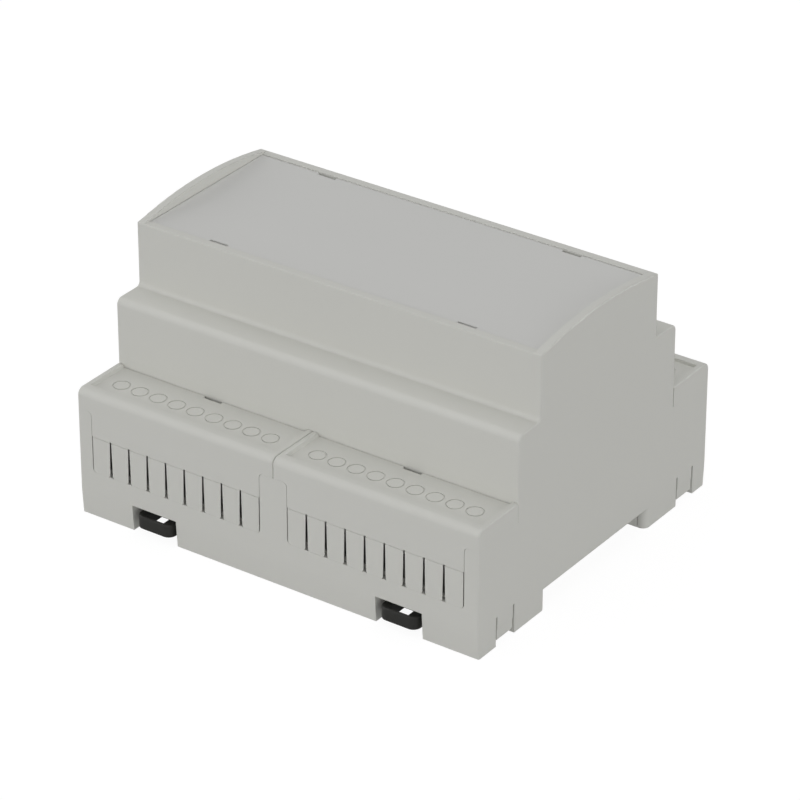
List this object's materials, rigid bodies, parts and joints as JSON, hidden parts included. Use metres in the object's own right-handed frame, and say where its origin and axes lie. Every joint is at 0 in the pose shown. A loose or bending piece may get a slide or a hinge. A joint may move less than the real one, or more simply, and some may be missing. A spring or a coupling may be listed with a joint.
{
  "type": "din rail enclosure",
  "caption": "Stepped grey plastic box for electronics that clips onto 35 mm mounting rail, with a flat lid, arched ends, knock-out terminal covers and black sliding rail clips.",
  "frame": {"origin": "middle of the footprint, at the level that the two feet stand on", "axes": "+X along the rail, towards the right-hand end seen from the clip side; +Y away from the clip side; +Z away from the rail, towards the lid"},
  "size_m": [0.1062, 0.0905, 0.065],
  "materials": {
    "body_grey": "fine matt moulded texture, light warm grey",
    "lid_grey": "smooth matt, light neutral grey",
    "clip_black": "satin black"
  },
  "bodies": {
    "box": {"base": "body_grey", "housing": "body_grey"},
    "lid": {"top_panel": "lid_grey"},
    "cover_front_left": {"terminal_cover_front_left": "body_grey"},
    "cover_front_right": {"terminal_cover_front_right": "body_grey"},
    "cover_rear_left": {"terminal_cover_rear_left": "body_grey"},
    "cover_rear_right": {"terminal_cover_rear_right": "body_grey"},
    "clip_left": {"rail_clip_left": "clip_black"},
    "clip_right": {"rail_clip_right": "clip_black"}
  },
  "joints": [
    {"name": "lid_lift", "type": "slide", "parent": "box", "child": "lid", "axis": [0, 0, 1], "range_m": [0, 0.015]},
    {"name": "cover_front_left_lift", "type": "slide", "parent": "box", "child": "cover_front_left", "axis": [0, 0, 1], "range_m": [0, 0.02]},
    {"name": "cover_front_right_lift", "type": "slide", "parent": "box", "child": "cover_front_right", "axis": [0, 0, 1], "range_m": [0, 0.02]},
    {"name": "cover_rear_left_lift", "type": "slide", "parent": "box", "child": "cover_rear_left", "axis": [0, 0, 1], "range_m": [0, 0.02]},
    {"name": "cover_rear_right_lift", "type": "slide", "parent": "box", "child": "cover_rear_right", "axis": [0, 0, 1], "range_m": [0, 0.02]},
    {"name": "clip_left_pull", "type": "slide", "parent": "box", "child": "clip_left", "axis": [0, -1, 0], "range_m": [0, 0.003], "stiffness_N_per_m": 2000},
    {"name": "clip_right_pull", "type": "slide", "parent": "box", "child": "clip_right", "axis": [0, -1, 0], "range_m": [0, 0.003], "stiffness_N_per_m": 2000}
  ]
}
